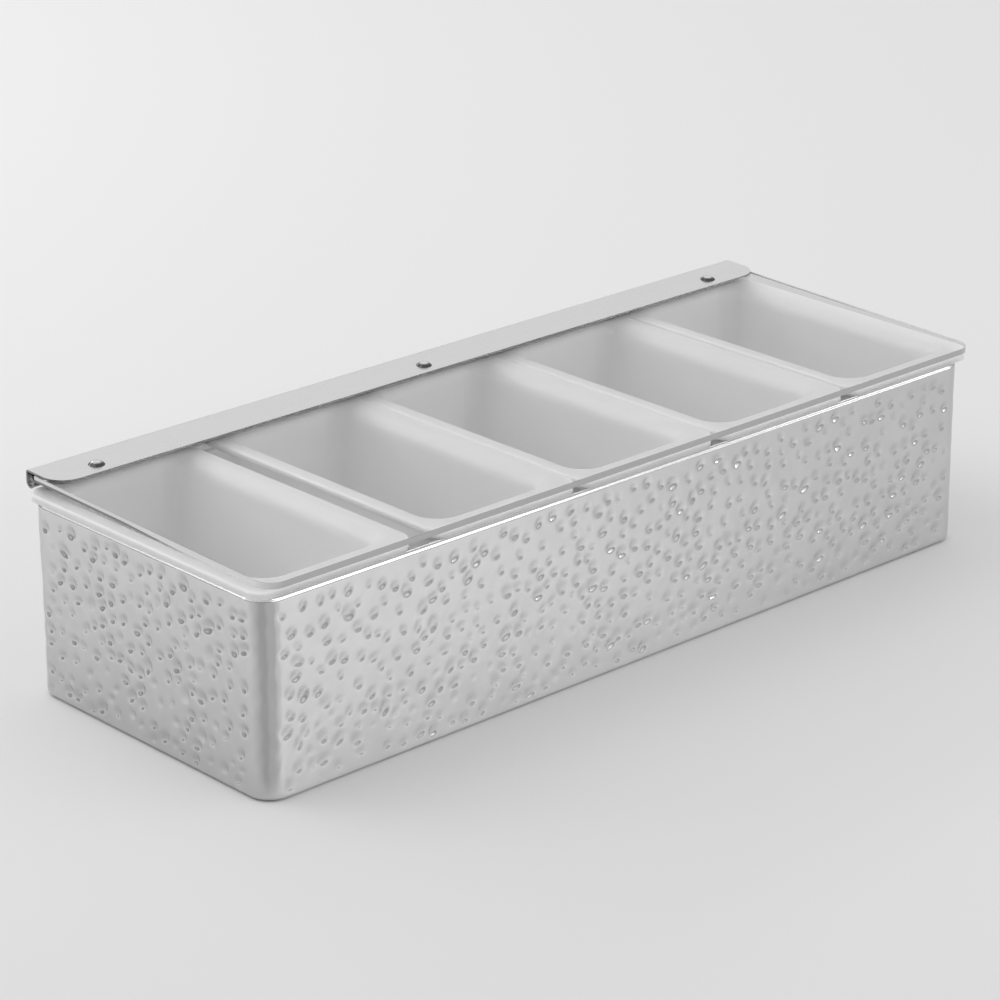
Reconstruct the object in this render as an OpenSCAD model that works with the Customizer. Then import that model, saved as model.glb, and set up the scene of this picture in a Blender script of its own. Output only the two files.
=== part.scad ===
// Condiment caddy: a long sheet-steel tub that carries a row of lift-out trays,
// under one clear lid that is hinged along the back.
// X runs along the tub, Y towards the back and Z up. The origin is the centre of
// the tub's footprint, on the surface that it stands on.

/* [Tub] */
// Length of the tub
body_l = 457; // [380:1:550]
// Depth of the tub, front to back
body_w = 168.5; // [140:0.5:205]
// Height of the tub to the top of its rim
body_h = 96.7; // [80:0.1:120]
// Radius of the tub's upright corners
body_corner_r = 12; // [8:0.5:20]
// Thickness of the tub's sheet
sheet_t = 0.8; // [0.6:0.1:1]
// Outer radius of the bend between wall and floor
bend_r = 3; // [2:0.5:5]
// Height of the hem folded down inside the rim
hem_h = 6; // [4:0.5:10]
// Gap left inside the folded hem
hem_gap = 0.4; // [0.2:0.1:0.8]

/* [Trays] */
// Gaps between the trays, from the left
tray_gaps = [10.4, 0.6, 1.2, 2.4]; // [0.4:0.1:16]
// How far the row of trays reaches past each end of the tub, on average
tray_over = 2.8; // [0:0.1:4]
// How far the middle of the row of trays sits to the right of the tub's middle
tray_shift = 1.4; // [-2:0.1:2]
// Step from the tub's front and back faces to the trays' edges
tray_set = 0.1; // [0:0.1:1]
// Wall of a tray
tray_t = 1.8; // [1.2:0.1:2.4]
// Height of the lip round a tray's flange
lip_h = 3.4; // [2.8:0.1:5]
// Rounding along the lip's top edge
lip_edge_r = 1; // [0.4:0.1:1.2]
// Corner radius of a tray's flange
flange_corner_r = 8; // [5:0.5:12]
// Width of the flat flange round a tray's mouth
flange_w = 4.5; // [3:0.5:10]
// Radius where the flange rolls over into the mouth
roll_r = 8; // [2.5:0.1:10]
// Corner radius inside a tray's mouth
mouth_corner_r = 9; // [9:0.5:16]
// How far a tray's walls draw in from its mouth to its foot
tray_taper = 2; // [0.5:0.1:3]
// Radius between a tray's walls and its floor
tray_floor_r = 6; // [3:0.5:7]
// Clear height under the trays, above the tub's floor
tray_floor_gap = 13.3; // [5:0.1:20]

/* [Lid] */
// Thickness of the clear sheet
lid_t = 3; // [2:0.1:3.6]
// How much longer than the tub the sheet is
lid_over = 1.1; // [0:0.1:6]
// How far the sheet's middle sits to the right of the tub's middle
lid_shift = 4.3; // [-5:0.1:5]
// How far the sheet reaches past the tub's front face
lid_front_over = 0.8; // [0:0.1:3]
// Radius of the sheet's front corners
lid_corner_r = 9; // [4:0.5:14]
// Slope of the closed lid, falling to the front, in degrees
lid_tilt = 1.1; // [0.6:0.1:2]
// Gap between the closed lid and the trays' front lips
rest_gap = 0.27; // [0.25:0.01:0.6]
// Gap between the sheet's back edge and the hinge knuckles
lid_back_gap = 1.3; // [0.5:0.1:3]

/* [Spine] */
// Thickness of the spine's sheet
spine_t = 1; // [0.8:0.1:1.2]
// Width of the spine's top, up to the hinge's centre line
spine_w = 22; // [19:0.5:30]
// How much longer than the tub the spine is
spine_over = 3; // [0:0.5:8]
// How far the spine's middle sits to the right of the tub's middle
spine_shift = 6; // [-6:0.5:6]
// Radius of the spine's front corners
spine_corner_r = 12; // [4:0.5:14]
// Outer radius of the spine's back bend
spine_bend_r = 1.5; // [1.3:0.1:2]
// Gap between the leaf's knuckles and the spine's top
spine_gap = 1.6; // [1:0.1:3]

/* [Hinge] */
// Diameter of the hinge rod
rod_d = 3.9; // [3:0.1:5]
// Radial clearance of the rod in its knuckles
rod_clear = 0.05; // [0.02:0.01:0.1]
// How far the rod's ends lie inside the spine's ends
rod_inset = 3; // [1:0.5:8]
// Thickness of the leaf on the tub's back wall
leaf_t = 1; // [0.8:0.1:1.2]
// How far the leaf reaches down from the rim
leaf_drop = 18; // [14:1:26]
// Distance from each end of the spine to the leaf's end
leaf_end = 25; // [10:1:25]
// Number of knuckles, odd, so that the spine has both ends
knuckles = 11; // [7:2:15]
// Gap between neighbouring knuckles
knuckle_gap = 0.6; // [0.4:0.1:1]
// How far round the rod each knuckle curls, in degrees
curl_angle = 250; // [220:5:270]
// Clearance round the knuckles in the notches that pass them
notch_gap = 0.4; // [0.3:0.1:0.6]

/* [Fasteners] */
// Diameter of the lid rivets' shanks
rivet_d = 4; // [3:0.1:5]
// Diameter of the lid rivets' domed heads
rivet_head_d = 8; // [6:0.5:10]
// Height of the lid rivets' domed heads
rivet_head_h = 1.9; // [1.2:0.1:2.5]
// Distance from the spine's ends to the outer rivets
rivet_end = 29.5; // [20:0.5:60]
// How far the row of rivets sits off the spine's middle
rivet_shift = -1.7; // [-5:0.1:5]
// Distance from the hinge's centre line to the row of rivets
rivet_back = 13.5; // [12:0.5:16]
// Diameter of the washers under the lid
washer_d = 9; // [7:0.5:11]
// Thickness of the washers under the lid
washer_t = 0.8; // [0.5:0.1:1]
// Diameter of the lid rivets' formed tails
tail_d = 6; // [5:0.1:8]
// Height of the lid rivets' formed tails
tail_h = 0.9; // [0.6:0.1:1]
// Diameter of the leaf rivets' shanks
leaf_rivet_d = 3.2; // [2.4:0.1:4]
// Diameter of the leaf rivets' heads
leaf_head_d = 6.4; // [5:0.1:7]
// Height of the leaf rivets' heads
leaf_head_h = 1.3; // [0.8:0.1:1.5]
// Diameter of the leaf rivets' formed tails, inside the tub
leaf_tail_d = 4.8; // [4:0.1:6]
// Height of the leaf rivets' formed tails
leaf_tail_h = 1; // [0.6:0.1:1.5]
// Number of leaf rivets
leaf_rivets_n = 5; // [3:1:7]
// Radial clearance of rivets in their holes
hole_clear = 0.05; // [0.02:0.01:0.2]

/* [Hidden] */
$fn = 96;

STEEL = [0.76, 0.77, 0.79];
BRIGHT_STEEL = [0.86, 0.87, 0.88];
DARK_STEEL = [0.55, 0.56, 0.58];
TRAY_WHITE = [0.93, 0.94, 0.93];
CLEAR = [0.82, 0.88, 0.9, 0.35];

// Trays
tray_count = len(tray_gaps) + 1;
tray_w = (body_l + 2 * tray_over - total(tray_gaps, len(tray_gaps))) / tray_count;
tray_d = body_w - 2 * tray_set;
tray_top = body_h + lip_h;
tray_bottom = sheet_t + tray_floor_gap;
path_w = tray_w - 2 * flange_w;
path_d = tray_d - 2 * flange_w;
path_r = mouth_corner_r + roll_r;

// Tub
hem_r = sheet_t + hem_gap / 2;

// Hinge: the axis lies where the closed lid just clears the trays' front lips
curl_r = rod_d / 2 + rod_clear;
knuckle_r = curl_r + max(leaf_t, spine_t);
axis_y = body_w / 2 + curl_r + leaf_t;
sheet_under = knuckle_r + spine_gap - lid_t;
lip_front_y = -tray_d / 2;
front_fall = (axis_y - lip_front_y) * tan(lid_tilt);
axis_z = tray_top + rest_gap + front_fall - sheet_under / cos(lid_tilt);

// Lid, measured from the hinge axis before the lid is tilted
lid_l = body_l + lid_over;
lid_front = -(axis_y + body_w / 2 + lid_front_over);
lid_back = -(knuckle_r + lid_back_gap);
sheet_top = sheet_under + lid_t;
spine_l = body_l + spine_over;
spine_left = spine_shift - spine_l / 2;
spine_back = curl_r + spine_t;
knuckle_pitch = spine_l / knuckles;
rivet_pitch = spine_l / 2 - rivet_end;

// Leaf
leaf_y = body_w / 2;
leaf_l = spine_l - 2 * leaf_end;
leaf_bottom = body_h - leaf_drop;
leaf_rivet_z = (leaf_bottom + body_h - hem_h) / 2;
leaf_rivet_pitch = leaf_l / leaf_rivets_n;
// Overcut that takes a hole right through its wall, and the lap of joined solids
cut = 1;

// Sum of the first n values of a list
function total(values, n) = n == 0 ? 0 : values[n - 1] + total(values, n - 1);

function tray_left(i) = tray_shift - body_l / 2 - tray_over + i * tray_w + total(tray_gaps, i);

// Rectangle with round corners, centred
module round_rect(l, w, r) {
    square([l - 2 * r, w], center = true);
    square([l, w - 2 * r], center = true);
    for (sx = [-1, 1], sy = [-1, 1])
        translate([sx * (l / 2 - r), sy * (w / 2 - r)]) circle(r);
}

// Plate with two round front corners: from front to back along Y, centred along X
module front_rounded(l, front, back, r) {
    translate([-l / 2, front + r]) square([l, back - front - r]);
    translate([-l / 2 + r, front]) square([l - 2 * r, r]);
    for (s = [-1, 1])
        translate([s * (l / 2 - r), front + r]) circle(r);
}

// Part of a flat ring, from angle a0 to a1, which are less than 180 degrees apart
module ring_part(r_in, r_out, a0, a1) {
    side = 2 * r_out;
    middle = 2 * side;
    mid = (a0 + a1) / 2;
    intersection() {
        difference() {
            circle(r_out);
            circle(r_in);
        }
        polygon([
            [0, 0], side * [cos(a0), sin(a0)],
            middle * [cos(mid), sin(mid)], side * [cos(a1), sin(a1)]
        ]);
    }
}

// Knuckle curl round the origin: from angle a0, turning through sweep degrees
module curl(t, a0, sweep) {
    ring_part(curl_r, curl_r + t, a0, a0 + sweep / 2);
    ring_part(curl_r, curl_r + t, a0 + sweep / 2, a0 + sweep);
}

// Carries a profile round a rectangle with round corners. The profile's X is
// measured outwards from the corner's centre, and its Y is up.
module around_rect(l, w, r) {
    for (k = [0 : 3]) {
        run = (k % 2 == 0 ? w : l) - 2 * r;
        reach = (k % 2 == 0 ? l : w) / 2 - r;
        rotate(90 * k)
            translate([reach, run / 2, 0]) {
                rotate([90, 0, 0]) linear_extrude(run) children();
                rotate_extrude(angle = 90) children();
            }
    }
}

// Extrudes a Y-Z profile along X, starting at x
module along_x(x, length) {
    translate([x, 0, 0])
        rotate([90, 0, 90]) linear_extrude(length) children();
}

// Domed rivet head on the plane z = 0
module dome(d, h) {
    ball_r = (d * d / 4 + h * h) / (2 * h);
    rotate_extrude()
        intersection() {
            translate([0, h - ball_r]) circle(ball_r);
            square([d / 2, h]);
        }
}

// Moves the lid's pieces from the hinge axis to where the closed lid lies
module closed_lid() {
    translate([0, axis_y, axis_z]) rotate([lid_tilt, 0, 0]) children();
}

module at_lid_rivets() {
    for (i = [-1 : 1])
        translate([spine_shift + rivet_shift + i * rivet_pitch, -rivet_back, 0]) children();
}

module at_leaf_rivets() {
    first = spine_shift - leaf_rivet_pitch * (leaf_rivets_n - 1) / 2;
    for (i = [0 : leaf_rivets_n - 1])
        translate([first + i * leaf_rivet_pitch, leaf_y, leaf_rivet_z])
            rotate([-90, 0, 0]) children();
}

// Section of the tub's sheet: floor, bend, wall and the hem folded inside the rim
module tub_profile() {
    square([body_corner_r - bend_r, sheet_t]);
    translate([body_corner_r - bend_r, bend_r])
        ring_part(bend_r - sheet_t, bend_r, -90, 0);
    translate([body_corner_r - sheet_t, bend_r])
        square([sheet_t, body_h - hem_r - bend_r]);
    translate([body_corner_r - hem_r, body_h - hem_r]) {
        ring_part(hem_gap / 2, hem_r, 0, 90);
        ring_part(hem_gap / 2, hem_r, 90, 180);
    }
    translate([body_corner_r - 2 * hem_r, body_h - hem_h])
        square([sheet_t, hem_h - hem_r]);
}

module housing_tub() {
    color(STEEL)
        difference() {
            union() {
                around_rect(body_l, body_w, body_corner_r) tub_profile();
                translate([0, 0, sheet_t / 2])
                    cube([body_l - 2 * body_corner_r, body_w - 2 * body_corner_r, sheet_t], center = true);
            }
            at_leaf_rivets()
                translate([0, 0, -sheet_t - cut])
                    cylinder(d = leaf_rivet_d + 2 * hole_clear, h = sheet_t + 2 * cut);
        }
}

// Section of a tray's wall: rolled edge, tapered wall, round foot and floor
module tray_profile() {
    wall_top = [mouth_corner_r, tray_top - roll_r];
    wall_foot = [mouth_corner_r - tray_taper, tray_bottom + tray_t + tray_floor_r];
    across = [tray_t, 0];
    translate([path_r, wall_top.y]) ring_part(roll_r - tray_t, roll_r, 90, 180);
    polygon([wall_top, wall_foot, wall_foot + across, wall_top + across]);
    translate([wall_foot.x - tray_floor_r, wall_foot.y])
        ring_part(tray_floor_r, tray_floor_r + tray_t, -90, 0);
    translate([0, tray_bottom]) square([wall_foot.x - tray_floor_r, tray_t]);
}

// Section of the lip that hangs from the flange's edge and stands on the tub's rim
module lip_profile() {
    x0 = flange_corner_r - tray_t;
    translate([x0, body_h]) square([tray_t - lip_edge_r, lip_h]);
    translate([x0, body_h]) square([tray_t, lip_h - lip_edge_r]);
    translate([flange_corner_r - lip_edge_r, tray_top - lip_edge_r]) circle(lip_edge_r);
}

module tray(i) {
    translate([tray_left(i) + tray_w / 2, 0, 0])
        color(TRAY_WHITE) {
            around_rect(path_w, path_d, path_r) tray_profile();
            translate([0, 0, tray_bottom + tray_t / 2])
                cube([path_w - 2 * path_r, path_d - 2 * path_r, tray_t], center = true);
            around_rect(tray_w, tray_d, flange_corner_r) lip_profile();
            translate([0, 0, tray_top - tray_t])
                linear_extrude(tray_t)
                    difference() {
                        round_rect(tray_w - 2 * tray_t, tray_d - 2 * tray_t, flange_corner_r - tray_t);
                        round_rect(path_w, path_d, path_r);
                    }
        }
}

module tray_1() { tray(0); }
module tray_2() { tray(1); }
module tray_3() { tray(2); }
module tray_4() { tray(3); }
module tray_5() { tray(4); }

// The strip on the back wall, with every second knuckle curled from its top edge
module hinge_leaf() {
    notch_drop = knuckle_r + notch_gap;
    notch_z = axis_z - notch_drop;
    color(STEEL)
        difference() {
            union() {
                translate([spine_shift - leaf_l / 2, leaf_y, leaf_bottom])
                    cube([leaf_l, leaf_t, notch_z - leaf_bottom]);
                for (i = [1 : 2 : knuckles - 2])
                    along_x(spine_left + i * knuckle_pitch + knuckle_gap / 2, knuckle_pitch - knuckle_gap)
                        translate([axis_y, axis_z]) {
                            translate([-curl_r - leaf_t, -notch_drop - cut])
                                square([leaf_t, notch_drop + cut]);
                            curl(leaf_t, 180 - curl_angle, curl_angle);
                        }
            }
            at_leaf_rivets()
                translate([0, 0, -cut])
                    cylinder(d = leaf_rivet_d + 2 * hole_clear, h = leaf_t + 2 * cut);
        }
}

// Rivets that hold the leaf: domed outside, flattened inside the tub
module leaf_rivets() {
    color(BRIGHT_STEEL)
        at_leaf_rivets() {
            translate([0, 0, leaf_t]) dome(leaf_head_d, leaf_head_h);
            translate([0, 0, -sheet_t]) cylinder(d = leaf_rivet_d, h = sheet_t + leaf_t);
            translate([0, 0, -sheet_t - leaf_tail_h]) cylinder(d = leaf_tail_d, h = leaf_tail_h);
        }
}

module hinge_rod() {
    color(BRIGHT_STEEL)
        translate([spine_left + rod_inset, axis_y, axis_z])
            rotate([0, 90, 0]) cylinder(d = rod_d, h = spine_l - 2 * rod_inset);
}

module lid_sheet() {
    color(CLEAR)
        closed_lid()
            difference() {
                translate([lid_shift, 0, sheet_under])
                    linear_extrude(lid_t) front_rounded(lid_l, lid_front, lid_back, lid_corner_r);
                at_lid_rivets()
                    translate([0, 0, sheet_under - cut])
                        cylinder(d = rivet_d + 2 * hole_clear, h = lid_t + 2 * cut);
            }
}

// The steel strip over the lid's back edge: it bends down behind the sheet and
// curls in under itself, with notches where the leaf's knuckles pass
module lid_spine() {
    bend_y = spine_back - spine_bend_r;
    bend_z = sheet_top + spine_t - spine_bend_r;
    color(BRIGHT_STEEL)
        closed_lid()
            difference() {
                union() {
                    translate([spine_shift, 0, sheet_top])
                        linear_extrude(spine_t) front_rounded(spine_l, -spine_w, bend_y, spine_corner_r);
                    along_x(spine_left, spine_l) {
                        translate([bend_y, bend_z]) ring_part(spine_bend_r - spine_t, spine_bend_r, 0, 90);
                        translate([spine_back - spine_t, 0]) square([spine_t, bend_z]);
                        curl(spine_t, -curl_angle, curl_angle);
                    }
                }
                for (i = [1 : 2 : knuckles - 2])
                    translate([
                        spine_left + i * knuckle_pitch - knuckle_gap / 2,
                        -knuckle_r - cut, -knuckle_r - cut
                    ])
                        cube([
                            knuckle_pitch + knuckle_gap, 2 * (knuckle_r + cut),
                            2 * knuckle_r + cut + notch_gap
                        ]);
                at_lid_rivets()
                    translate([0, 0, sheet_top - cut])
                        cylinder(d = rivet_d + 2 * hole_clear, h = spine_t + 2 * cut);
            }
}

// Rivets through spine, sheet and washers: domed on top, flattened underneath
module lid_rivets() {
    color(BRIGHT_STEEL)
        closed_lid()
            at_lid_rivets() {
                translate([0, 0, sheet_top + spine_t]) dome(rivet_head_d, rivet_head_h);
                translate([0, 0, sheet_under - washer_t])
                    cylinder(d = rivet_d, h = washer_t + lid_t + spine_t);
                translate([0, 0, sheet_under - washer_t - tail_h]) cylinder(d = tail_d, h = tail_h);
            }
}

module lid_washers() {
    color(DARK_STEEL)
        closed_lid()
            at_lid_rivets()
                translate([0, 0, sheet_under - washer_t])
                    difference() {
                        cylinder(d = washer_d, h = washer_t);
                        translate([0, 0, -cut])
                            cylinder(d = rivet_d + 2 * hole_clear, h = washer_t + 2 * cut);
                    }
}

housing_tub();
hinge_leaf();
leaf_rivets();
hinge_rod();
tray_1();
tray_2();
tray_3();
tray_4();
tray_5();
lid_sheet();
lid_spine();
lid_rivets();
lid_washers();
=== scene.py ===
"""Looks of the condiment caddy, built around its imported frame.

A hammered steel tub carries five white trays under one clear lid. Every length is
in metres unless its name says otherwise, in the frame's own axes: X along the tub,
Y to the back and Z up, with the origin under the middle of the tub.
"""

import logging
import math
from dataclasses import dataclass, field
from enum import Enum
from typing import Any, Callable, Sequence

import bpy
import numpy as np
from mathutils import Matrix, Vector


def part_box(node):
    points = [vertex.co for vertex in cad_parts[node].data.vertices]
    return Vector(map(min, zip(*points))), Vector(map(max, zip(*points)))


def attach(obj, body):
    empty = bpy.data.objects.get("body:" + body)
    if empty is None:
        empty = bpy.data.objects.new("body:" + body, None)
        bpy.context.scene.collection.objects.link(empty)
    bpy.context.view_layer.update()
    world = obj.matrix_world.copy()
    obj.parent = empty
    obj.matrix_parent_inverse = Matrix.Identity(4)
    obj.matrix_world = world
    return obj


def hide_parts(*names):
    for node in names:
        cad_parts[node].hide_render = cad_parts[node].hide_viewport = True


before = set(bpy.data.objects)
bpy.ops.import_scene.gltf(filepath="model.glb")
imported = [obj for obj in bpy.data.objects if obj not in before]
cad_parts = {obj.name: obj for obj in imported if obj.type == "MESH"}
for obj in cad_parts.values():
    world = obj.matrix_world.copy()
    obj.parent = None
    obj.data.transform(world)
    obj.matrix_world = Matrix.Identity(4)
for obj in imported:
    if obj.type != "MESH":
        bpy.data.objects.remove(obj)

log = logging.getLogger("caddy")

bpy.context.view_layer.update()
MM = 0.001
DENT_MASK = "dent"
HOUSING = "housing"
BLACK = (0.0, 0.0, 0.0)
WHITE = (1.0, 1.0, 1.0)

Triple = tuple[float, float, float]
Stops = tuple[tuple[float, float], ...]
Zone = Callable[[float], tuple[float, float]]
Number = float | int


class NodeKind(Enum):
    """The node types that the finishes use."""

    MATH = "ShaderNodeMath"
    VECTOR_MATH = "ShaderNodeVectorMath"
    MIX = "ShaderNodeMix"
    NOISE = "ShaderNodeTexNoise"
    ATTRIBUTE = "ShaderNodeAttribute"
    COORDS = "ShaderNodeTexCoord"
    MAPPING = "ShaderNodeMapping"
    RAMP = "ShaderNodeValToRGB"
    BUMP = "ShaderNodeBump"
    SEPARATE = "ShaderNodeSeparateXYZ"
    LIGHT_PATH = "ShaderNodeLightPath"
    PRINCIPLED = "ShaderNodeBsdfPrincipled"
    TRANSPARENT = "ShaderNodeBsdfTransparent"
    MIX_SHADER = "ShaderNodeMixShader"
    BACKGROUND = "ShaderNodeBackground"
    SURFACE_OUT = "ShaderNodeOutputMaterial"
    WORLD_OUT = "ShaderNodeOutputWorld"


class Wire:
    """A socket that Python arithmetic can be done on: each operator adds a Math node."""

    def __init__(self, graph: "NodeGraph", socket: bpy.types.NodeSocket) -> None:
        """Wraps one output socket.

        Args:
            graph: The graph that the socket belongs to.
            socket: The output socket.
        """
        self.graph = graph
        self.socket = socket

    def _math(self, operation: str, first: "Wire | Number", second: "Wire | Number") -> "Wire":
        """Adds a Math node.

        Args:
            operation: Blender's name of the operation.
            first: The first value.
            second: The second value.

        Returns:
            The node's result.
        """
        return self.graph.add(NodeKind.MATH, {"operation": operation}, {0: first, 1: second})

    def __add__(self, other: "Wire | Number") -> "Wire":
        """Returns self + other."""
        return self._math("ADD", self, other)

    def __sub__(self, other: "Wire | Number") -> "Wire":
        """Returns self - other."""
        return self._math("SUBTRACT", self, other)

    def __rsub__(self, other: Number) -> "Wire":
        """Returns other - self."""
        return self._math("SUBTRACT", other, self)

    def __mul__(self, other: "Wire | Number") -> "Wire":
        """Returns self * other."""
        return self._math("MULTIPLY", self, other)

    def __rmul__(self, other: Number) -> "Wire":
        """Returns other * self."""
        return self._math("MULTIPLY", other, self)

    def __truediv__(self, other: "Wire | Number") -> "Wire":
        """Returns self / other."""
        return self._math("DIVIDE", self, other)

    def size(self) -> "Wire":
        """Returns self without its sign."""
        return self._math("ABSOLUTE", self, 0.0)

    def at_least(self, other: "Wire | Number") -> "Wire":
        """Returns the larger of self and other."""
        return self._math("MAXIMUM", self, other)

    def power(self, other: "Wire | Number") -> "Wire":
        """Returns self raised to other."""
        return self._math("POWER", self, other)

    def centred(self) -> "Wire":
        """Returns a value from -1 to 1 as a ramp's place from 0 to 1."""
        return self * 0.5 + 0.5


class NodeGraph:
    """Builds one node tree."""

    def __init__(self, tree: bpy.types.NodeTree) -> None:
        """Starts from an emptied tree.

        Args:
            tree: The material's or the world's node tree.
        """
        self.tree = tree
        tree.nodes.clear()

    def add(
        self,
        kind: NodeKind,
        settings: dict[str, Any] | None = None,
        sockets: dict[int | str, Any] | None = None,
        output: int | str = 0,
    ) -> Wire:
        """Adds a node of any type.

        Args:
            kind: The node's type.
            settings: Attributes that are set first. The key "stops" sets a ramp's stops.
            sockets: A value or a wire for each named or numbered input.
            output: The output that is returned.

        Returns:
            The chosen output.
        """
        node = self.tree.nodes.new(kind.value)
        for name, value in (settings or {}).items():
            if name == "stops":
                self._set_stops(node, value)
            else:
                setattr(node, name, value)
        for key, value in (sockets or {}).items():
            if isinstance(value, Wire):
                self.tree.links.new(value.socket, node.inputs[key])
            else:
                node.inputs[key].default_value = value
        return Wire(self, node.outputs[output]) if len(node.outputs) else Wire(self, None)

    @staticmethod
    def _set_stops(node: bpy.types.Node, stops: Stops) -> None:
        """Sets a ramp's stops, as places and grey levels.

        Args:
            node: The ramp node.
            stops: Places from 0 to 1, each with its level.
        """
        elements = node.color_ramp.elements
        while len(elements) < len(stops):
            elements.new(1.0)
        for element, (place, level) in zip(elements, stops):
            element.position = place
            element.color = (level, level, level, 1.0)

    def coords(self, kind: str, axis: str = "") -> Wire:
        """Adds coordinates of the piece that is shaded.

        Args:
            kind: The coordinates' name, such as Object, Generated or Normal.
            axis: X, Y or Z for one part of them, or nothing for all three.

        Returns:
            The coordinates, or the part.
        """
        whole = self.add(NodeKind.COORDS, {}, {}, kind)
        return self.add(NodeKind.SEPARATE, {}, {0: whole}, axis) if axis else whole

    def ramp(self, stops: Stops, factor: Wire) -> Wire:
        """Reads a value from a ramp.

        Args:
            stops: Places from 0 to 1, each with its level.
            factor: The place that is read.

        Returns:
            The level there.
        """
        return self.add(NodeKind.RAMP, {"stops": stops}, {"Fac": factor})

    def dot(self, vector: Wire, direction: Triple) -> Wire:
        """Measures a vector along a direction.

        Args:
            vector: The vector.
            direction: The direction, of length 1.

        Returns:
            The vector's part along the direction.
        """
        settings = {"operation": "DOT_PRODUCT"}
        return self.add(NodeKind.VECTOR_MATH, settings, {0: vector, 1: direction}, "Value")

    def noise(self, density: Triple, detail: float = 2.0) -> Wire:
        """Adds a noise texture and returns its factor.

        Args:
            density: How many features fit in a metre along X, Y and Z.
            detail: Octaves of detail.

        Returns:
            The noise, about 0.5 on average.
        """
        place = self.add(NodeKind.MAPPING, {}, {"Vector": self.coords("Object"), "Scale": density})
        sockets = {"Vector": place, "Scale": 1.0, "Detail": detail}
        return self.add(NodeKind.NOISE, {}, sockets, "Fac")

    def upright(self, flat: float, steep: float) -> Wire:
        """Marks the faces that stand up in the piece's own frame.

        Args:
            flat: The vertical part of the normal at which the mark starts.
            steep: The vertical part of the normal at which it is full.

        Returns:
            0 on flat faces and 1 on upright ones.
        """
        return self.ramp(((steep, 1.0), (flat, 0.0)), self.coords("Normal", "Z").size())

    def mix_colours(self, factor: Wire, low: Triple | Wire, high: Triple | Wire) -> Wire:
        """Mixes two colours.

        Args:
            factor: 0 for low and 1 for high.
            low: The first colour.
            high: The second colour.

        Returns:
            The mixed colour.
        """
        # A Mix node has its colours at inputs 6 and 7 and mixes them at output 2.
        ends = [end if isinstance(end, Wire) else (*end, 1.0) for end in (low, high)]
        sockets = {0: factor, 6: ends[0], 7: ends[1]}
        return self.add(NodeKind.MIX, {"data_type": "RGBA"}, sockets, 2)

    def bump(self, height: Wire, distance: float) -> Wire:
        """Turns a height into a normal.

        Args:
            height: The height, from 0 to 1.
            distance: The height of 1, in metres.

        Returns:
            The normal.
        """
        return self.add(NodeKind.BUMP, {}, {"Height": height, "Distance": distance})


def new_material(name: str) -> tuple[bpy.types.Material, NodeGraph]:
    """Makes an empty node material.

    Args:
        name: The material's name.

    Returns:
        The material and its graph.
    """
    material = bpy.data.materials.new(name)
    material.use_nodes = True
    return material, NodeGraph(material.node_tree)


@dataclass(frozen=True)
class Steel:
    """Bare stainless sheet.

    The edge values are vertical parts of the normal, between which faces get a painted shade,
    darker as they stand up. The back stops lift that painted shade from faces that look to the
    back.
    The dent value paints shade into the hollows of the dents.
    """

    name: str
    colour: Triple = (0.88, 0.88, 0.88)
    roughness: float = 0.24
    roughness_spread: float = 0.08
    patchiness: float = 0.06
    patch_density: Triple = (70.0, 70.0, 70.0)
    grain: Triple = (60.0, 900.0, 900.0)
    grain_depth: float = 0.004 * MM
    detail: float = 3.0
    dent_painted_shade: float = 0.0
    edge_painted_shade: float = 0.0
    edge_start: float = 0.8
    edge_full: float = 0.5
    back_stops: Stops = ()

    def material(self) -> bpy.types.Material:
        """Returns the metal, with a fine grain and uneven polish, and any painted shade in the
        dents and on upright faces.
        """
        material, graph = new_material(self.name)
        grain = graph.noise(self.grain, self.detail)
        patches = graph.noise(self.patch_density, self.detail)
        tone = patches * self.patchiness + (1.0 - self.patchiness)
        roughness = patches * self.roughness_spread + (self.roughness - self.roughness_spread / 2)
        # Painted shade: the colour is darkened inside the dents' hollows, by the dent mask.
        if self.dent_painted_shade:
            dent = graph.add(NodeKind.ATTRIBUTE, {"attribute_name": DENT_MASK}, {}, "Fac")
            tone = tone * (1.0 - dent * self.dent_painted_shade)
        # Painted shade: upright faces, such as cut edges and the flanks of rivet domes, are
        # painted darker.
        if self.edge_painted_shade:
            edge = graph.upright(self.edge_start, self.edge_full)
            if self.back_stops:
                edge = edge * graph.ramp(self.back_stops, graph.coords("Normal", "Y"))
            tone = tone * (1.0 - edge * self.edge_painted_shade)
        shader = graph.add(
            NodeKind.PRINCIPLED,
            {},
            {
                "Base Color": graph.mix_colours(tone, BLACK, self.colour),
                "Metallic": 1.0,
                "Roughness": roughness,
                "Normal": graph.bump(grain, self.grain_depth),
            },
        )
        graph.add(NodeKind.SURFACE_OUT, {}, {"Surface": shader})
        return material


@dataclass(frozen=True)
class TrayPlastic:
    """White plastic that lets a little light in."""

    name: str = "tray_plastic"
    colour: Triple = (0.97, 0.97, 0.97)
    shade: Triple = (0.95, 0.95, 0.95)
    flow_density: Triple = (18.0, 18.0, 8.0)
    texture_density: Triple = (700.0, 700.0, 700.0)
    texture_depth: float = 0.006 * MM
    roughness: float = 0.34
    roughness_spread: float = 0.08
    index: float = 1.49
    scatter_depth: float = 9 * MM

    def material(self) -> bpy.types.Material:
        """Returns the plastic, with faint flow marks and a fine moulded texture."""
        material, graph = new_material(self.name)
        flow = graph.noise(self.flow_density)
        texture = graph.noise(self.texture_density)
        shader = graph.add(
            NodeKind.PRINCIPLED,
            {},
            {
                "Base Color": graph.mix_colours(flow, self.shade, self.colour),
                "Roughness": flow * self.roughness_spread + self.roughness,
                "IOR": self.index,
                "Subsurface Weight": 1.0,
                "Subsurface Radius": (1.0, 1.0, 1.0),
                "Subsurface Scale": self.scatter_depth,
                "Normal": graph.bump(texture, self.texture_depth),
            },
        )
        graph.add(NodeKind.SURFACE_OUT, {}, {"Surface": shader})
        return material


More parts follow.
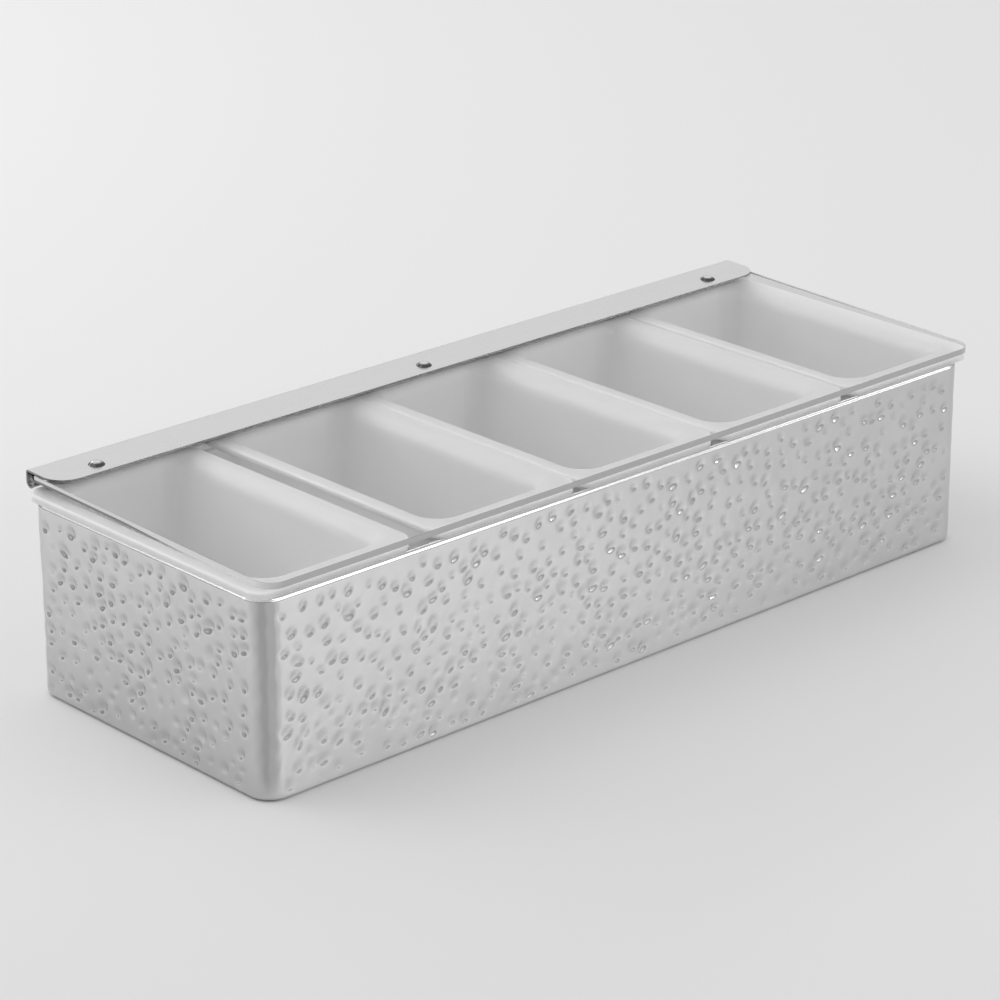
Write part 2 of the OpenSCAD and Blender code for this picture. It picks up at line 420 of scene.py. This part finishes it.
@dataclass(frozen=True)
class ClearSheet:
    """Clear plastic sheet that lets the lamps' light through, with dull cut edges in painted light
    and shade.
    """

    name: str = "clear_sheet"
    colour: Triple = (0.99, 0.99, 0.99)
    let_through: Triple = (0.95, 0.95, 0.95)
    front_edge_painted_shade: Triple = (0.50, 0.50, 0.50)
    side_edge_painted_light: Triple = (0.78, 0.78, 0.78)
    shaded_edge: Triple = (0.22, 0.22, 0.22)
    shaded_height: Stops = ((0.34, 0.0), (0.6, 0.45))
    shade_blur: Stops = ((0.0, 0.0), (0.06, 1.0))
    thickness: float = 3 * MM
    haze_density: Triple = (25.0, 25.0, 25.0)
    roughness: float = 0.02
    edge_roughness: float = 0.2
    edge_spread: float = 0.1
    flat_normal: float = 0.8
    cut_normal: float = 0.3
    index: float = 1.49

    def material(self) -> bpy.types.Material:
        """Returns the clear plastic."""
        material, graph = new_material(self.name)
        haze = graph.noise(self.haze_density)
        clear = graph.add(
            NodeKind.PRINCIPLED,
            {},
            {
                "Base Color": (*self.colour, 1.0),
                "Roughness": haze * self.roughness,
                "IOR": self.index,
                "Transmission Weight": 1.0,
            },
        )
        # The cut faces are opaque, in painted shade and light: the front edge is painted darker,
        # the side edges lighter, with a painted shadow along their lower part.
        sideways = graph.coords("Normal", "X").size()
        side = graph.mix_colours(self._shaded(graph), self.side_edge_painted_light, self.shaded_edge)
        cut = graph.add(
            NodeKind.PRINCIPLED,
            {},
            {
                "Base Color": graph.mix_colours(sideways, self.front_edge_painted_shade, side),
                "Roughness": haze * self.edge_spread + self.edge_roughness,
                "IOR": self.index,
            },
        )
        edge = graph.upright(self.flat_normal, self.cut_normal)
        sheet = graph.add(NodeKind.MIX_SHADER, {}, {0: edge, 1: clear, 2: cut})
        shadow = graph.add(NodeKind.LIGHT_PATH, {}, {}, "Is Shadow Ray")
        open_way = graph.add(NodeKind.TRANSPARENT, {}, {"Color": (*self.let_through, 1.0)})
        shader = graph.add(NodeKind.MIX_SHADER, {}, {0: shadow, 1: sheet, 2: open_way})
        graph.add(NodeKind.SURFACE_OUT, {}, {"Surface": shader})
        return material

    def _shaded(self, graph: NodeGraph) -> Wire:
        """Marks the lower part of the side edges, which tapers to the front, for a painted shadow
        of the gap under the lid.

        Args:
            graph: The material's graph.

        Returns:
            1 in the shade and 0 outside it.
        """
        low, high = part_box("lid_sheet")
        rise = (high.z - self.thickness - low.z) / (high.y - low.y)
        underside = (graph.coords("Object", "Y") - low.y) * rise + low.z
        height = (graph.coords("Object", "Z") - underside) / self.thickness
        tall = graph.ramp(self.shaded_height, graph.coords("Generated", "Y"))
        return graph.ramp(self.shade_blur, tall - height)


def dress(piece: bpy.types.Object, material: bpy.types.Material) -> None:
    """Gives a piece one material.

    Args:
        piece: The mesh object.
        material: Its finish.
    """
    piece.data.materials.clear()
    piece.data.materials.append(material)


def round_edges(
    piece: bpy.types.Object, width: float, segments: int = 2, sharp_deg: float = 40.0
) -> None:
    """Breaks a piece's sharp edges.

    Args:
        piece: The mesh object.
        width: The width of the rounding.
        segments: How many faces it has across.
        sharp_deg: The angle from which an edge is rounded.
    """
    weld = piece.modifiers.new("weld", "WELD")
    weld.merge_threshold = 0.002 * MM
    bevel = piece.modifiers.new("edges", "BEVEL")
    bevel.width = width
    bevel.segments = segments
    bevel.limit_method = "ANGLE"
    bevel.angle_limit = math.radians(sharp_deg)
    bevel.harden_normals = True


def mesh_piece(name: str, points: np.ndarray, faces: list[Sequence[int]]) -> bpy.types.Object:
    """Makes a smooth mesh object from points and faces.

    Args:
        name: The piece's name.
        points: One row of X, Y and Z for each point.
        faces: The point numbers of each face.

    Returns:
        The new object, linked to the scene.
    """
    mesh = bpy.data.meshes.new(name)
    mesh.from_pydata(points.tolist(), [], faces)
    mesh.update()
    mesh.shade_smooth()
    piece = bpy.data.objects.new(name, mesh)
    bpy.context.scene.collection.objects.link(piece)
    return piece


@dataclass
class RoundedPath:
    """The line round a rectangle with round corners, as points.

    The right and back sides, which the photograph doesn't show, have the coarser step.
    """

    length: float
    width: float
    radius: float
    step: float
    hidden_step: float
    along: np.ndarray = field(init=False)
    points: np.ndarray = field(init=False)
    outward: np.ndarray = field(init=False)
    curved: np.ndarray = field(init=False)
    total: float = field(init=False)

    def __post_init__(self) -> None:
        """Walks round the rectangle from the left end of its front side."""
        run_x = self.length - 2 * self.radius
        run_y = self.width - 2 * self.radius
        arc = math.pi / 2 * self.radius
        runs = [run_x, arc, run_y, arc, run_x, arc, run_y, arc]
        corners = [(1, -1), (1, 1), (-1, 1), (-1, -1)]
        self.total = sum(runs)
        along, points, outward, curved = [], [], [], []
        for side, run in enumerate(runs):
            quarter = side // 2
            heading = math.pi / 2 * quarter
            forward = np.array([math.cos(heading), math.sin(heading)])
            out = np.array([forward[1], -forward[0]])
            sx, sy = corners[quarter]
            centre = np.array([sx * run_x / 2, sy * run_y / 2])
            step = self.hidden_step if side in (2, 4) else self.step
            for place in np.linspace(0, run, round(run / step), endpoint=False):
                along.append(sum(runs[:side]) + place)
                curved.append(side % 2 == 1)
                if curved[-1]:
                    angle = place / self.radius
                    normal = out * math.cos(angle) + forward * math.sin(angle)
                    points.append(centre + normal * self.radius)
                    outward.append(normal)
                else:
                    points.append(centre - forward * (run - place) + out * self.radius)
                    outward.append(out)
        self.along = np.array(along)
        self.points = np.array(points)
        self.outward = np.array(outward)
        self.curved = np.array(curved)


@dataclass(frozen=True)
class Dent:
    """One hammer mark.

    The lean makes it deeper toward its slant, and the softness rounds its rim.
    """

    along: float
    height: float
    radius: float
    depth: float
    stretch: float
    slant: float
    lean: float
    softness: float = 1.5

    def shape(self, across: np.ndarray, up: np.ndarray) -> np.ndarray:
        """Works out the bowl, which is steeper on the side that it leans to.

        Args:
            across: Distances from the dent's middle along the wall.
            up: Distances up the wall.

        Returns:
            The share of the depth, 0 outside the dent.
        """
        cos, sin = math.cos(self.slant), math.sin(self.slant)
        fore = (across * cos + up * sin) * self.stretch / self.radius
        side = (up * cos - across * sin) / self.stretch / self.radius
        return np.clip(1 - fore**2 - side**2, 0, 1) ** self.softness * (1 + self.lean * fore)


@dataclass
class Hammering:
    """Dents scattered over a band that runs round the tub.

    Each range holds the least and most of what a dent's own value is multiplied by.
    """

    around: float
    bottom: float
    top: float
    spacing: float = 8.2 * MM
    spacing_range: tuple[float, float] = (0.72, 1.25)
    radius: float = 3.5 * MM
    radius_spread: float = 0.6 * MM
    least_radius: float = 1.9 * MM
    most_radius: float = 4.8 * MM
    depth_share: float = 0.225
    depth_range: tuple[float, float] = (0.75, 1.3)
    stretch_range: tuple[float, float] = (0.85, 1.2)
    lean: float = 0.8
    lean_range: tuple[float, float] = (0.7, 1.15)
    slant_deg: float = -55.0
    slant_spread_deg: float = 28.0
    reach: float = 1.3
    full_depth: float = 0.5 * MM
    tries: int = 26000
    seed: int = 11

    def centres(self, zone: Zone) -> list[Dent]:
        """Throws dents at random and keeps those that have room.

        Args:
            zone: Gives the share of dents kept and how deep they go at a place along the wall.

        Returns:
            The dents.
        """
        rng = np.random.default_rng(self.seed)
        kept: list[Dent] = []
        places = np.empty((0, 2))
        for _ in range(self.tries):
            s = rng.uniform(0, self.around)
            z = rng.uniform(self.bottom, self.top)
            room = self.spacing * rng.uniform(*self.spacing_range)
            radius = rng.normal(self.radius, self.radius_spread)
            radius = float(np.clip(radius, self.least_radius, self.most_radius))
            share, deeper = zone(s)
            depth = radius * self.depth_share * deeper * rng.uniform(*self.depth_range)
            stretch = rng.uniform(*self.stretch_range)
            slant = math.radians(rng.normal(self.slant_deg, self.slant_spread_deg))
            lean = self.lean * rng.uniform(*self.lean_range)
            if rng.uniform() > share:
                continue
            if len(places):
                gap = np.abs(places[:, 0] - s)
                gap = np.minimum(gap, self.around - gap)
                if np.hypot(gap, places[:, 1] - z).min() < room:
                    continue
            kept.append(Dent(s, z, radius, depth, stretch, slant, lean))
            places = np.vstack([places, [s, z]])
        return kept

    def heights(
        self, along: np.ndarray, up: np.ndarray, zone: Zone
    ) -> tuple[np.ndarray, np.ndarray]:
        """Works out how far the wall is pressed in at each point of a grid.

        Args:
            along: The grid's places along the wall.
            up: The grid's heights.
            zone: Gives the share of dents kept and how deep they go.

        Returns:
            The depth at each height and place, and how far into a dent it is.
        """
        depth = np.zeros((len(up), len(along)))
        mask = np.zeros_like(depth)
        dents = self.centres(zone)
        for dent in dents:
            reach = dent.radius * self.reach
            gap = (along - dent.along + self.around / 2) % self.around - self.around / 2
            columns = np.nonzero(np.abs(gap) < reach)[0]
            rows = np.nonzero(np.abs(up - dent.height) < reach)[0]
            bowl = dent.shape(gap[columns][None, :], up[rows][:, None] - dent.height)
            window = np.ix_(rows, columns)
            depth[window] = np.maximum(depth[window], bowl * dent.depth)
            strength = min(1.0, dent.depth / self.full_depth)
            mask[window] = np.maximum(mask[window], np.clip(bowl, 0, 1) * strength)
        log.info("hammering: %d dents", len(dents))
        return depth, mask


@dataclass(frozen=True)
class Waves:
    """Slanting waves that close on themselves round the tub."""

    depth: float
    count: int
    turns: tuple[int, int]
    rise: float
    seed: int

    def heights(self, path: RoundedPath, up: np.ndarray) -> np.ndarray:
        """Adds up the waves, each with its own number of turns, rise and phase.

        Args:
            path: The line round the tub.
            up: Each row's height.

        Returns:
            How far each row and column is pressed in.
        """
        rng = np.random.default_rng(self.seed)
        angle = path.along / path.total * 2 * math.pi
        waves = np.zeros((len(up), len(angle)))
        for _ in range(self.count):
            rise = rng.uniform(-self.rise, self.rise)
            phase = rng.uniform(0, 2 * math.pi)
            turns = int(rng.integers(*self.turns))
            waves += np.sin(angle[None, :] * turns + up[:, None] * rise + phase)
        return waves / self.count**0.5 * self.depth


@dataclass
class Tub:
    """The hammered tub, as one sheet with its folded rim.

    Its inner wall stands further in than the sheet is thick, to clear the dents. No
    dent's middle lies in the smooth bottom or top, and the waves fade out over the flat
    bottom and top. Past sparse_from the front wall keeps a smaller share of its dents.
    """

    steel: Steel
    corner_radius: float = 12 * MM
    sheet: float = 0.8 * MM
    wall_depth: float = 1.7 * MM
    bend_radius: float = 3 * MM
    hem_radius: float = 1 * MM
    hem_height: float = 6 * MM
    rim_band: float = 2.1 * MM
    rim_lean: float = 0.66 * MM
    rim_start_deg: float = 35.0
    inner_bend_deg: float = -54.0
    hem_gap: float = 1 * MM
    bend_rows: int = 6
    band_rows: int = 5
    rim_rows: int = 12
    inner_rows: int = 8
    inner_bend_rows: int = 5
    grid: float = 0.85 * MM
    hidden_grid: float = 1.3 * MM
    smooth_bottom: float = 6 * MM
    smooth_top: float = 6 * MM
    waves: tuple[Waves, ...] = (
        Waves(0.15 * MM, count=18, turns=(6, 34), rise=90.0, seed=5),
        Waves(0.055 * MM, count=60, turns=(50, 170), rise=700.0, seed=6),
    )
    flat_bottom: float = 12 * MM
    flat_top: float = 10 * MM
    least_sheet: float = 0.1 * MM
    end_depth: float = 1.12
    sparse_from: float = 140 * MM
    sparse_share: float = 0.6

    def build(self) -> None:
        """Builds the shell in place of the CAD tub."""
        low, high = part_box("housing_tub")
        height = high.z - low.z
        length, width = high.x - low.x, high.y - low.y
        path = RoundedPath(length, width, self.corner_radius, self.grid, self.hidden_grid)
        inset, up, wall = self._profile(height)
        press, mask = self._pressing(path, up, height)
        press = np.minimum(press, self.wall_depth - self.least_sheet) * wall[:, None]
        mask *= wall[:, None]
        inward = (inset[:, None] + press)[:, :, None]
        rows, columns = len(up), len(path.along)
        points = np.empty((rows, columns, 3))
        points[:, :, :2] = path.points[None, :, :] - path.outward[None, :, :] * inward
        points[:, :, 2] = up[:, None]
        index = np.arange(rows * columns).reshape(rows, columns)
        beside = np.roll(index, -1, axis=1)
        quads = np.stack([index[:-1], beside[:-1], beside[1:], index[1:]], axis=-1).reshape(-1, 4)
        faces = quads.tolist()
        faces.append(index[0][::-1].tolist())
        faces.append(index[-1].tolist())
        tub = mesh_piece("hammered_tub", points.reshape(-1, 3), faces)
        # The dent mask feeds the painted shade inside the dents.
        dents = tub.data.attributes.new(DENT_MASK, "FLOAT", "POINT")
        dents.data.foreach_set("value", mask.reshape(-1).astype(np.float32))
        dress(tub, self.steel.material())
        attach(tub, HOUSING)
        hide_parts("housing_tub")
        log.info("tub: %d faces", len(faces))

    def _profile(self, height: float) -> tuple[np.ndarray, np.ndarray, np.ndarray]:
        """Works out the section, from under the floor up, over the rim and down inside.

        Args:
            height: The tub's height.

        Returns:
            Each row's inset from the outside, its height, and how much it is hammered.
        """
        rows: list[tuple[float, float, float]] = []
        for angle in np.radians(np.linspace(-90, 0, self.bend_rows)):
            rows.append((
                self.bend_radius * (1 - math.cos(angle)),
                self.bend_radius * (1 + math.sin(angle)),
                0.0,
            ))
        slope_start = height - self.rim_band
        straight = np.arange(self.bend_radius + self.grid, slope_start, self.grid)
        rows += [(0.0, float(z), 1.0) for z in straight]
        slope = self.rim_band - self.hem_radius
        for share in np.linspace(0, 1, self.band_rows):
            rows.append((self.rim_lean * share, slope_start + slope * share, 0.0))
        for angle in np.radians(np.linspace(self.rim_start_deg, 180, self.rim_rows)):
            outer = max(0.0, math.cos(angle)) * (self.hem_radius - self.rim_lean)
            inner = min(0.0, math.cos(angle)) * self.hem_radius
            rows.append((
                self.hem_radius - outer - inner,
                height + self.hem_radius * (math.sin(angle) - 1),
                0.0,
            ))
        hem_end = height - self.hem_height
        rows.append((2 * self.hem_radius, hem_end, 0.0))
        rows.append((2 * self.hem_radius - self.sheet, hem_end, 0.0))
        inner = np.linspace(hem_end - self.hem_gap, self.bend_radius, self.inner_rows)
        rows += [(self.wall_depth, float(z), 0.0) for z in inner]
        inner_bend = self.bend_radius - self.sheet
        for angle in np.radians(np.linspace(self.inner_bend_deg, -90, self.inner_bend_rows)):
            rows.append((
                self.bend_radius - inner_bend * math.cos(angle),
                self.bend_radius + inner_bend * math.sin(angle),
                0.0,
            ))
        table = np.array(rows)
        return table[:, 0], table[:, 1], table[:, 2]

    def _pressing(
        self, path: RoundedPath, up: np.ndarray, height: float
    ) -> tuple[np.ndarray, np.ndarray]:
        """Works out how far each point of the wall is pressed in.

        Args:
            path: The line round the tub.
            up: Each row's height.
            height: The tub's height.

        Returns:
            The depth at each row and column, and the dents' mask there.
        """
        hammering = Hammering(path.total, self.smooth_bottom, height - self.smooth_top)
        count = len(path.along)

        def zone(s: float) -> tuple[float, float]:
            """Returns the share of dents kept and how deep they go at a place."""
            column = int(np.searchsorted(path.along, s)) % count
            x, y = path.points[column]
            at_end = abs(path.outward[column][0]) > abs(path.outward[column][1])
            deeper = self.end_depth if at_end else 1.0
            if path.curved[column]:
                return 0.0, deeper
            sparse = y < 0 and x > self.sparse_from
            return (self.sparse_share if sparse else 1.0), deeper

        dents, mask = hammering.heights(path.along, up, zone)
        uneven = sum(waves.heights(path, up) for waves in self.waves)
        fade = np.clip((up - self.bend_radius) / self.flat_bottom, 0, 1)
        fade *= np.clip((height - up) / self.flat_top, 0, 1)
        return dents + uneven * fade[:, None], mask


@dataclass
class Trays:
    """The five lift-out trays."""

    plastic: TrayPlastic
    count: int = 5

    def build(self) -> None:
        """Dresses each tray."""
        material = self.plastic.material()
        for number in range(1, self.count + 1):
            dress(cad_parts[f"tray_{number}"], material)
        log.info("%d trays dressed", self.count)


@dataclass
class Lid:
    """The clear sheet with its steel spine, rivets and washers."""

    clear: ClearSheet
    spine_steel: Steel
    rivet_steel: Steel
    edge_rounding: float = 0.3 * MM

    def build(self) -> None:
        """Dresses the lid's pieces."""
        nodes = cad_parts
        dress(nodes["lid_sheet"], self.clear.material())
        round_edges(nodes["lid_sheet"], self.edge_rounding)
        dress(nodes["lid_spine"], self.spine_steel.material())
        # The rivets and washers share the rivet steel, with its painted shade on upright faces.
        rivet = self.rivet_steel.material()
        for name in ("lid_rivets", "lid_washers"):
            dress(nodes[name], rivet)
        log.info("lid dressed")


@dataclass
class Hinge:
    """The leaf, its rivets and the rod."""

    steel: Steel

    def build(self) -> None:
        """Dresses the hinge's pieces."""
        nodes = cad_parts
        steel = self.steel.material()
        for name in ("hinge_leaf", "hinge_rod", "leaf_rivets"):
            dress(nodes[name], steel)
        log.info("hinge dressed")


@dataclass
class PhotoCamera:
    """The camera at the photograph's viewpoint."""

    azimuth_deg: float = -42.615
    elevation_deg: float = 21.401
    roll_deg: float = -0.252
    lens_mm: float = 129.02
    sensor_mm: float = 36.0
    sight: float = 30.0
    place: Triple = (-1.10006, -1.18174, 0.69081)

    def build(self) -> None:
        """Makes the camera and looks through it."""
        angles = (self.azimuth_deg, self.elevation_deg, self.roll_deg)
        azimuth, elevation, roll = (math.radians(angle) for angle in angles)
        back = Vector((
            math.sin(azimuth) * math.cos(elevation),
            -math.cos(azimuth) * math.cos(elevation),
            math.sin(elevation),
        ))
        level = Vector((math.cos(azimuth), math.sin(azimuth), 0))
        upright = back.cross(level)
        right = level * math.cos(roll) + upright * math.sin(roll)
        up = upright * math.cos(roll) - level * math.sin(roll)
        data = bpy.data.cameras.new("photo_camera")
        data.sensor_fit = "HORIZONTAL"
        data.sensor_width = self.sensor_mm
        data.lens = self.lens_mm
        data.clip_end = self.sight
        camera = bpy.data.objects.new("photo_camera", data)
        turned = Matrix((right, up, back)).transposed().to_4x4()
        camera.matrix_world = Matrix.Translation(self.place) @ turned
        bpy.context.scene.collection.objects.link(camera)
        bpy.context.scene.camera = camera


def heading(angle_deg: float) -> Triple:
    """Works out a level direction.

    Args:
        angle_deg: Its angle from X.

    Returns:
        The direction, of length 1.
    """
    angle = math.radians(angle_deg)
    return (math.cos(angle), math.sin(angle), 0.0)


@dataclass(frozen=True)
class Lamp:
    """One soft rectangular lamp, with its width and height and its power in watts."""

    name: str
    place: Triple
    size: tuple[float, float]
    power: float
    target: Triple = (0.0, 0.0, 0.05)

    def build(self) -> None:
        """Hangs the lamp and points it at its target."""
        data = bpy.data.lights.new(self.name, "AREA")
        data.shape = "RECTANGLE"
        data.size, data.size_y = self.size
        data.energy = self.power
        lamp = bpy.data.objects.new(self.name, data)
        lamp.location = self.place
        aim = Vector(self.target) - Vector(self.place)
        lamp.rotation_euler = aim.to_track_quat("-Z", "Y").to_euler()
        bpy.context.scene.collection.objects.link(lamp)


@dataclass
class Studio:
    """Pale floor, soft lamps and a plain white room.

    The floor has two sets of painted tones. What is seen directly is a painted fall-off of light,
    darker on the camera's side of the caddy and lighter behind it. What glossy faces
    mirror is a painted reflection, from left to right along X, with a painted dark strip
    that widens from the tub's front corner toward the camera.
    """

    camera: PhotoCamera
    floor_size: float = 6.0
    floor_cells: int = 12
    floor_roughness: float = 0.6
    painted_floor_falloff: Stops = (
        (0.0, 0.72), (0.42, 0.745), (0.46, 0.79), (0.5, 0.81), (0.62, 0.865), (0.72, 0.905),
        (1.0, 0.95),
    )
    painted_mirror_tones: Stops = (
        (0.0, 0.5), (0.30, 0.66), (0.365, 0.58), (0.385, 0.52), (0.394, 0.87), (0.53, 0.84),
        (0.62, 0.66), (0.73, 0.58), (1.0, 0.58),
    )
    mirror_reach: float = 1.0
    shade_colour: Triple = (0.38, 0.38, 0.38)
    shade_ahead: Stops = ((0.0, 0.0), (0.02, 1.0))
    shade_across: Stops = (
        (0.01, 0.0), (0.07, 0.25), (0.18, 0.6), (0.31, 1.0), (0.5, 1.0), (0.6, 0.6),
        (0.82, 0.5), (0.93, 0.5), (0.975, 0.1), (1.0, 0.0),
    )
    room_level: float = 0.775
    room_rise: Stops = ((0.0, 0.58), (0.2, 0.62), (0.28, 1.0), (1.0, 1.0))
    dim_side_deg: float = 115.0
    dim_side_share: float = 0.6
    dim_front_share: float = 0.6
    dim_focus: float = 3.0
    lamps: tuple[Lamp, ...] = (
        Lamp("lamp_left", (-0.55, 1.5, 0.86), size=(2.1, 0.2), power=6.5),
        Lamp("lamp_front", (0.35, -1.55, 0.88), size=(1.7, 0.26), power=3.6),
        Lamp("lamp_right", (1.3, -1.05, 0.5), size=(0.42, 0.17), power=0.8),
        Lamp("lamp_top", (-1.1, 0.75, 1.8), size=(1.6, 1.6), power=7.0, target=(0.0, 0.0, 0.0)),
    )

    @property
    def front_deg(self) -> float:
        """The angle from X of the level direction toward the camera."""
        return self.camera.azimuth_deg - 90

    def build(self) -> None:
        """Builds the floor, the world and the lamps."""
        self._floor()
        self._world()
        for lamp in self.lamps:
            lamp.build()
        bpy.context.scene.view_settings.view_transform = "Standard"

    def _floor(self) -> None:
        """Lays the floor, with its painted light and painted reflections."""
        half = self.floor_size / 2
        line = np.linspace(-half, half, self.floor_cells + 1)
        points = np.array([(x, y, 0.0) for y in line for x in line])
        faces = []
        for row in range(self.floor_cells):
            for column in range(self.floor_cells):
                near = row * len(line) + column
                far = near + len(line)
                faces.append((near, near + 1, far + 1, far))
        floor = mesh_piece("floor", points, faces)
        material, graph = new_material("floor_paper")
        place = graph.coords("Object")
        # Painted light: the floor seen directly is darker on the camera's side and lighter behind.
        away = graph.dot(place, heading(self.front_deg)) * (-1 / half)
        seen_painted_falloff = graph.ramp(self.painted_floor_falloff, away.centred())
        # Painted reflection: glossy rays see tones of their own along X, brightest in front of the
        # tub's front wall and darker to either side.
        east = graph.coords("Object", "X") * (1 / self.mirror_reach)
        mirrored_painted_tone = graph.ramp(self.painted_mirror_tones, east.centred())
        glossy = graph.add(NodeKind.LIGHT_PATH, {}, {}, "Is Glossy Ray")
        tone = seen_painted_falloff * (1.0 - glossy) + mirrored_painted_tone * glossy
        paper = graph.mix_colours(tone, BLACK, WHITE)
        # Painted dark reflection: the strip that the tub's front corner mirrors, seen by glossy
        # rays only.
        shade = self._corner_shade(graph, place) * glossy
        colour = graph.mix_colours(shade, paper, self.shade_colour)
        sockets = {"Base Color": colour, "Roughness": self.floor_roughness}
        shader = graph.add(NodeKind.PRINCIPLED, {}, sockets)
        graph.add(NodeKind.SURFACE_OUT, {}, {"Surface": shader})
        dress(floor, material)

    def _corner_shade(self, graph: NodeGraph, place: Wire) -> Wire:
        """Marks the strip of floor that the tub's front corner mirrors, for a painted dark
        reflection that only glossy rays see.

        Args:
            graph: The floor's graph.
            place: The place's coordinates.

        Returns:
            1 on the strip, fading to 0 beside it.
        """
        corner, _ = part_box("housing_tub")
        offsets = []
        for direction in (heading(self.front_deg), heading(self.front_deg + 90)):
            start = corner.x * direction[0] + corner.y * direction[1]
            offsets.append(graph.dot(place, direction) - start)
        ahead, aside = offsets
        distance = (ahead * ahead + aside * aside).power(0.5)
        across = graph.ramp(self.shade_across, (aside / distance).centred())
        return across * graph.ramp(self.shade_ahead, ahead)

    def _world(self) -> None:
        """Lights the room evenly, but darker low down, at one side and behind the camera."""
        world = bpy.data.worlds.new("room")
        world.use_nodes = True
        bpy.context.scene.world = world
        graph = NodeGraph(world.node_tree)
        direction = graph.coords("Generated")
        front = graph.dot(direction, heading(self.front_deg)).at_least(0.0).power(self.dim_focus)
        side = graph.dot(direction, heading(self.dim_side_deg)).at_least(0.0).power(self.dim_focus)
        low = graph.ramp(self.room_rise, graph.coords("Generated", "Z"))
        level = low - side * (1.0 - low) * self.dim_side_share
        level = level * (1.0 - front * self.dim_front_share) * self.room_level
        sockets = {"Color": (*WHITE, 1.0), "Strength": level}
        light = graph.add(NodeKind.BACKGROUND, {}, sockets)
        graph.add(NodeKind.WORLD_OUT, {}, {"Surface": light})


def main() -> None:
    """Builds the camera, the caddy and the studio, in that order."""
    logging.basicConfig(level=logging.INFO, format="%(name)s: %(message)s")
    camera = PhotoCamera()
    camera.build()
    tub_steel = Steel(
        "tub_steel",
        roughness=0.17,
        patchiness=0.14,
        grain=(500.0, 500.0, 500.0),
        # Painted shade inside the dents.
        dent_painted_shade=0.1,
    )
    spine_steel = Steel(
        "spine_steel",
        colour=(0.86, 0.86, 0.86),
        roughness=0.28,
        grain=(12.0, 900.0, 900.0),
        grain_depth=0.001 * MM,
        # Painted shade on the spine's cut edges and upright faces, lifted from faces that look to
        # the back.
        edge_painted_shade=0.62,
        back_stops=((0.1, 1.0), (0.4, 0.0)),
    )
    rivet_steel = Steel(
        "rivet_steel",
        roughness=0.12,
        roughness_spread=0.04,
        # Painted dark reflection on the flanks of the rivet domes, leaving a bright cap.
        edge_painted_shade=0.9,
        edge_start=0.945,
        edge_full=0.83,
    )
    Tub(tub_steel).build()
    Trays(TrayPlastic()).build()
    Lid(ClearSheet(), spine_steel, rivet_steel).build()
    Hinge(Steel("hinge_steel", roughness=0.3)).build()
    Studio(camera).build()


if __name__ == "__main__":
    main()
